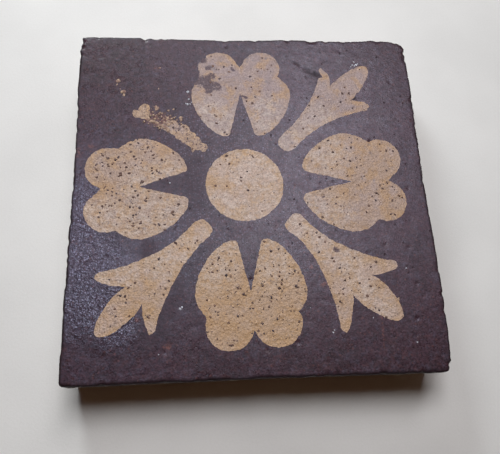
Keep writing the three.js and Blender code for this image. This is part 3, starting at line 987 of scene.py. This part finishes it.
def makeFlakeTree(name, scattered):
    # one flake on each point, or on points scattered over the faces where the mark "flecked" allows
    tree = bpy.data.node_groups.new(name, "GeometryNodeTree")
    inputs = {
        "Geometry": ["Geometry"],
        "Float": ["Density", "Smallest", "Largest", "Flatness", "Jaggedness"],
        "Int": ["Seed", "Detail"],
        "Material": ["Material"],
    }
    for kind, labels in inputs.items():
        for label in labels:
            tree.interface.new_socket(label, in_out="INPUT", socket_type="NodeSocket" + kind)
    tree.interface.new_socket("Geometry", in_out="OUTPUT", socket_type="NodeSocketGeometry")

    def add(kind, settings=None, values=None, output=0):
        return addNode(tree, kind, settings, values, output)

    def named(attribute):
        return add("GeometryNodeInputNamedAttribute", {"data_type": "FLOAT"}, {"Name": attribute})

    def chance(low, high):
        values = {2: low, 3: high, "Seed": given["Seed"]}
        return add("FunctionNodeRandomValue", {"data_type": "FLOAT"}, values, 1)

    source = tree.nodes.new("NodeGroupInput")
    given = {socket.name: Signal(tree, socket) for socket in source.outputs if socket.name}
    points = given["Geometry"]
    rotation = (0, 0, 0)
    if scattered:
        values = {"Mesh": points, "Density": given["Density"] * named("flecked"), "Seed": given["Seed"]}
        points = add("GeometryNodeDistributePointsOnFaces", {"distribute_method": "RANDOM"}, values, "Points")
        rotation = Signal(tree, points.socket.node.outputs["Rotation"])
        size = given["Smallest"] + (given["Largest"] - given["Smallest"]) * chance(0.0, 1.0) ** 4
    else:
        size = named("size")
    scale = {"X": size * chance(0.7, 1.4), "Y": size, "Z": size * given["Flatness"]}
    scale = add("ShaderNodeCombineXYZ", None, scale)
    shape = add("GeometryNodeMeshIcoSphere", None, {"Radius": 0.5, "Subdivisions": given["Detail"]})
    values = {"Points": points, "Instance": shape, "Rotation": rotation, "Scale": scale}
    flakes = add("GeometryNodeInstanceOnPoints", None, values)
    spin = add("ShaderNodeCombineXYZ", None, {"Z": chance(0.0, 2 * math.pi)})
    flakes = add("GeometryNodeRotateInstances", None, {"Instances": flakes, "Rotation": spin})
    real = add("GeometryNodeRealizeInstances", None, {"Geometry": flakes})
    position = add("GeometryNodeInputPosition")
    values = {"Vector": position, "Scale": 3500.0, "Detail": 1.0}  # pitches in a metre
    pattern = add("ShaderNodeTexNoise", None, values, "Color")
    centred = add("ShaderNodeVectorMath", {"operation": "SUBTRACT"}, {0: pattern, 1: (0.5, 0.5, 0.5)})
    amount = add("ShaderNodeCombineXYZ", None, {"X": given["Jaggedness"], "Y": given["Jaggedness"]})
    offset = add("ShaderNodeVectorMath", {"operation": "MULTIPLY"}, {0: centred, 1: amount})
    real = add("GeometryNodeSetPosition", None, {"Geometry": real, "Offset": offset})
    finished = add("GeometryNodeSetMaterial", None, {"Geometry": real, "Material": given["Material"]})
    add("NodeGroupOutput", None, {"Geometry": finished}, None)
    return tree


def growFlakes(name, base, tree, slot, **values):
    # runs a flake tree on a base mesh and keeps what it makes as one plain piece
    holder = addObject(name + "_base", base)
    modifier = holder.modifiers.new("flakes", "NODES")
    modifier.node_group = tree
    for item in tree.interface.items_tree:
        if item.in_out == "INPUT" and item.name in values:
            modifier[item.identifier] = values[item.name]
    evaluated = holder.evaluated_get(bpy.context.evaluated_depsgraph_get())
    mesh = bpy.data.meshes.new_from_object(evaluated)
    mesh.name = name
    bpy.data.objects.remove(holder)
    for attribute in [a.name for a in mesh.attributes if a.name in ("size", "flecked")]:
        mesh.attributes.remove(mesh.attributes[attribute])
    mesh.shade_smooth()
    addPiece(name, mesh)
    print(name, "made:", len(mesh.polygons), "faces")


def pointMesh(name, places, sizeShare=1.0):
    # loose points on the face, each with the size of its flake; places are x, y and size in hundredths
    places = np.array(places)
    ground = places[:, :2] * hundredth
    heights = topHeight + reliefAt(ground)
    shell = Shell(["size"])
    shell.add(np.column_stack([ground, heights]), size=places[:, 2] * hundredth[0] * mm * sizeShare)
    return shell.makeMesh(name)


def faceMesh(name, inlays, allowed):
    # the inlays' own faces, or the body's, as ground for scattered flakes where they are allowed
    shell = Shell(["flecked"])
    addGround(shell, (region > 0) == inlays, flecked=allowed)
    return shell.makeMesh(name)


placedFlakes = makeFlakeTree("placed_flakes", False)
scatteredFlakes = makeFlakeTree("scattered_flakes", True)

# Dark iron specks in the buff clay: x, y and size, in hundredths of the side
ironSpecks = [
    (-7.3, 10.8, 1.2), (-6.7, 8.2, 0.8), (-3.5, 3, 0.8), (0.2, 10.3, 0.7), (-10.7, 1.6, 0.8), (2, -6, 0.8),
    (3.6, -24.2, 0.8), (5.4, -27.5, 1), (8.3, -23.6, 0.6), (10.9, -23.5, 0.7), (10.6, -27.4, 0.7),
    (12.4, -28.5, 0.7), (-5.4, -27.2, 1), (-4.3, -28.8, 0.7), (-3.5, -29.2, 0.6), (-1.9, -31.1, 0.7),
    (-4.5, -34.3, 0.7), (-12.9, -34.4, 0.9), (-0.6, -38.2, 0.7), (-7.3, -24, 0.7), (-7.5, -22.3, 0.7),
    (-10.8, -22.4, 0.6), (-12.9, -22.8, 0.6), (-8.2, -36, 0.8), (-7.8, -41.7, 0.7), (-7.5, -17.7, 0.6),
    (3.2, -30.9, 0.6), (5, -34.7, 0.6), (8.2, -33.6, 0.7), (9, -33.6, 0.6), (17.5, -13.8, 1),
    (18.9, -15.1, 0.9), (26.7, -19.8, 0.9), (20.9, -20.6, 0.9), (32.5, -21, 0.9), (29, -30.2, 1.1),
    (21.5, -31.4, 0.8), (22.5, -29.5, 0.7), (33.5, -36, 0.9), (26.9, 9.7, 0.9), (27.2, 4.3, 0.9),
    (21.8, 0.3, 0.9), (23.5, -2.2, 0.7), (24.4, -4.8, 0.7), (32.5, -4.9, 0.8), (31.6, -6.7, 0.8),
    (39.7, -7.6, 1.1), (42.6, -2.5, 0.8), (28.8, -1.4, 0.6), (30.2, 1.4, 0.7), (36.4, 1.3, 0.7),
    (38.1, 14.2, 0.7), (31.3, 4, 0.6), (28.5, 6.8, 0.6), (-42, 11, 1), (-43.5, 6.7, 0.9), (-40.1, 7.7, 1),
    (-39.6, 5.6, 0.7), (-35.8, 8.7, 0.8), (-35.4, 7.4, 1), (-34.5, 5.6, 0.9), (-30.3, 12, 0.9),
    (-33.3, 10.7, 0.9), (-25.6, 9.6, 0.9), (-28.3, 7.1, 0.9), (-26.8, 6.1, 0.9), (-22.4, 11.7, 0.9),
    (-36.9, -2.3, 1), (-41.4, -4, 0.9), (-29.6, -1.7, 0.7), (-21, -3.7, 0.9), (-22.7, -5.9, 1),
    (-27.3, -9.3, 1.1), (-37, -7.2, 0.7), (-39, -0.9, 0.9), (-3.9, 32.7, 0.9), (0.8, 27.7, 0.9),
    (3.2, 31.7, 1), (0.8, 33.2, 0.7), (-5.7, 38.4, 0.9), (-10.6, 40.3, 1.1), (-11.3, 30.4, 0.9),
    (-10, 23.4, 0.9), (-14.6, 23.3, 0.7), (-10.5, 28, 0.7), (22.4, 26.9, 0.9), (17.2, 22.8, 0.7),
    (15.5, 19.4, 0.9), (28.5, 31.2, 0.9), (30.6, 31.3, 0.9), (29.4, 29.1, 0.7), (-21.7, -14.6, 1),
    (-16, -14, 0.9), (-27.3, -21.3, 0.7), (-23.4, -22.3, 0.7), (-23.5, -24.7, 0.7), (-25.7, -26.1, 0.7),
    (-24.8, -28.3, 1), (-34.7, -28.4, 0.9), (-37.2, -31.5, 0.9), (-33.4, -33.5, 0.7), (-28.5, -34, 1),
]
growFlakes("iron_specks", pointMesh("iron_points", ironSpecks, 0.7), placedFlakes, "chocolate_clay",
           Flatness=0.06, Jaggedness=0.00045, Detail=2, Seed=3, Material=ironSpeck)
rimClearance = 0.3  # without fine specks
speckled = (rimDistance > rimClearance) * (1 + patchAt("speckled", flat))
for number, name in enumerate(inlayNames, 1):
    speckled[np.unique(triangles[region == number])] *= clayWear[name][2]
growFlakes("fine_iron_specks", faceMesh("inlay_ground", True, speckled), scatteredFlakes,
           "chocolate_clay", Density=420000.0, Smallest=0.00016, Largest=0.0006, Flatness=0.05,
           Jaggedness=0.0003, Detail=1, Seed=4, Material=fineSpeck)

# Buff clay left in the body where the fourth sprig has worn away: x, y and size
buffFlecks = [
    (-38.6, 34.9, 1.3), (-37, 31.3, 1.1), (-38.8, 33.7, 0.4), (-37.8, 32.3, 0.4), (-36.7, 30.3, 0.8),
    (-27.2, 25.8, 1.2), (-27.6, 26.4, 0.8), (-25.8, 24.2, 0.8), (-24.1, 22.7, 0.8), (-20.2, 22.8, 1),
    (-20.3, 22.2, 0.8), (-28.2, 26.6, 0.5), (-22.3, 25.6, 0.5), (-26.7, 32.4, 0.5), (-26.5, 39.5, 0.6),
    (-29.8, 22, 0.7), (-28.9, 21.6, 0.7), (-28.1, 21.2, 0.8), (-27.2, 20.8, 0.7), (-26.5, 20.5, 0.8),
    (-25.9, 23.2, 0.6), (-26.6, 22.6, 0.5), (-25.2, 22.3, 0.6), (-24.6, 23.3, 0.5), (-27.4, 23.3, 0.5),
    (-28.2, 22.7, 0.4), (-23.6, 21.8, 0.6), (-26.1, 21.6, 0.5), (-29, 23.8, 0.4), (37.4, -31.3, 0.8),
    (-29.6, 22.4, 1.1), (-28.4, 21.7, 1.2), (-27.2, 21.1, 1.3), (-26, 20.4, 1.4), (-24.9, 19.9, 1.4),
    (-24, 19.1, 1.3), (-25, 21.2, 0.9), (-23.9, 20.8, 1.1), (-22.8, 21.3, 0.8), (-24.4, 22.2, 0.5),
]
growFlakes("buff_flecks", pointMesh("fleck_points", buffFlecks), placedFlakes, "buff_clay",
           Flatness=0.06, Jaggedness=0.0006, Detail=2, Seed=5, Material=buffFleck)
growFlakes("fine_buff_flecks", faceMesh("worn_ground", False, patchAt("worn", flat)), scatteredFlakes,
           "buff_clay", Density=3500000.0, Smallest=0.0002, Largest=0.0007, Flatness=0.03,
           Jaggedness=0.0004, Detail=1, Seed=7, Material=buffFleck)

# Crumbs of old lime on the face: x, y and size
limeCrumbs = [
    (-18.2, 31.4, 0.8), (-17.9, 28.9, 0.5), (-18.8, 27.5, 0.5), (-18.3, 27.2, 0.6), (-17.6, 27.3, 0.5),
    (-17.2, 27.9, 0.4), (32.7, 41.2, 0.5), (33.3, 42.3, 0.5), (33.9, 41.3, 0.6), (33.3, 41, 0.5),
    (34.4, 41.7, 0.4), (32.2, 40.6, 0.3), (-20.6, -32.1, 0.6), (-20.1, -31.7, 0.5), (18.8, -39.4, 0.4),
    (19.2, -38.9, 0.5), (40.8, -23, 0.35), (-23.3, 2.6, 0.4), (40.9, -42.7, 0.3), (-25.9, -43.2, 0.4),
    (30, -36, 0.3), (13.3, -32.9, 0.25),
]
growFlakes("lime_crumbs", pointMesh("crumb_points", limeCrumbs), placedFlakes, "lime_mortar",
           Flatness=0.3, Jaggedness=0.0003, Detail=2, Seed=6, Material=limeCrumb)


# Camera, lights and floor

view = {
    "place": (-10.68, -40.05, 112.29),  # millimetres, as are the two below
    "turn": (17.94, -4.62, -2.55),  # degrees
    "focalLength": 36.36,
    "sensor": 36.0,
}
camera = addObject("camera", bpy.data.cameras.new("camera"))
camera.location = Vector(view["place"]) * mm
camera.rotation_euler = Euler([math.radians(angle) for angle in view["turn"]], "XYZ")
camera.data.lens = view["focalLength"]
camera.data.sensor_width = view["sensor"]
camera.data.clip_start = 0.01
bpy.context.scene.camera = camera

# Each light: azimuth anticlockwise from +X and elevation in degrees, width, height and distance in metres.
# The windows light the clay, and the panels are only what it mirrors.
lights = {
    "low_window": {"azimuth": 110, "elevation": 30, "width": 0.09, "height": 0.09, "distance": 0.35,
                   "power": 0.51, "colour": (0.93, 1.0, 1.05)},
    "high_window": {"azimuth": 100, "elevation": 73, "width": 0.126, "height": 0.126, "distance": 0.3,
                    "power": 0.49, "colour": (1.0, 1.0, 1.03), "mirrored": False},
    "far_window": {"azimuth": 70, "elevation": 53, "width": 0.32, "height": 0.32,
                   "power": 1.7, "colour": (1.0, 1.0, 1.03), "mirrored": False},
    "tall_panel": {"azimuth": 64, "elevation": 62, "width": 0.3, "height": 0.5,
                   "power": 3.4, "colour": (0.97, 0.95, 1.16), "lighting": False},
    "broad_panel": {"azimuth": 90, "elevation": 58, "width": 0.75, "height": 0.42,
                    "power": 0.85, "colour": (0.96, 0.95, 0.98), "lighting": False},
    "back_panel": {"azimuth": 84, "elevation": 49, "width": 0.4, "height": 0.18,
                   "power": 1.25, "colour": (0.92, 0.96, 1.15), "lighting": False},
    "near_panel": {"azimuth": 66, "elevation": 76, "width": 0.14, "height": 0.1,
                   "power": 0.8, "colour": (0.92, 0.96, 1.1), "lighting": False},
    "side_panel": {"azimuth": 35, "elevation": 62, "width": 0.35, "height": 0.4,
                   "power": 1.2, "colour": (0.96, 0.93, 1.15), "lighting": False},
    "sky_panel": {"azimuth": 132, "elevation": 69, "width": 0.11, "height": 0.11,
                  "power": 2.3, "colour": (0.83, 0.93, 1.3), "lighting": False},
}


def addLight(name, azimuth, elevation, width, height, power, colour,
             distance=1.0, mirrored=True, lighting=True):
    lamp = bpy.data.lights.new(name, "AREA")
    lamp.shape = "ELLIPSE"
    lamp.size = width
    lamp.size_y = height
    lamp.energy = power
    lamp.color = colour
    light = addObject(name, lamp)
    light.visible_glossy = mirrored
    light.visible_diffuse = lighting
    turn, rise = math.radians(azimuth), math.radians(elevation)
    towards = Vector((math.cos(turn) * math.cos(rise), math.sin(turn) * math.cos(rise), math.sin(rise)))
    light.location = towards * distance
    light.rotation_euler = towards.to_track_quat("Z", "Y").to_euler()


for name, values in lights.items():
    addLight(name, **values)

surroundings = {"colour": (1.0, 0.52, 0.28, 1.0), "strength": 0.042}
world = bpy.data.worlds.new("room")
world.use_nodes = True
background = world.node_tree.nodes["Background"]
background.inputs["Color"].default_value = surroundings["colour"]
background.inputs["Strength"].default_value = surroundings["strength"]
bpy.context.scene.world = world
bpy.context.scene.view_settings.view_transform = "Standard"

floorLooks = {"halfSize": 600, "pale": srgb(231, 230, 226), "dull": srgb(223, 222, 218)}


def makeFloor():
    finish = Finish("floor_finish", floorLooks, "pale")
    finish.cover(finish.clouds(0.3, 0.7, 30, 3), "dull")
    grain = finish.noise(0.5, 4, 0.7)
    finish.cover(0.16, grain, "OVERLAY")
    half = floorLooks["halfSize"] * mm
    corners = [(-half, -half, 0), (half, -half, 0), (half, half, 0), (-half, half, 0)]
    mesh = bpy.data.meshes.new("floor")
    mesh.from_pydata(corners, [], [(0, 1, 2, 3)])
    mesh.materials.append(finish.done(0.8, grain, 0.03))
    addObject("floor", mesh)


makeFloor()
print("camera, lights and floor made")
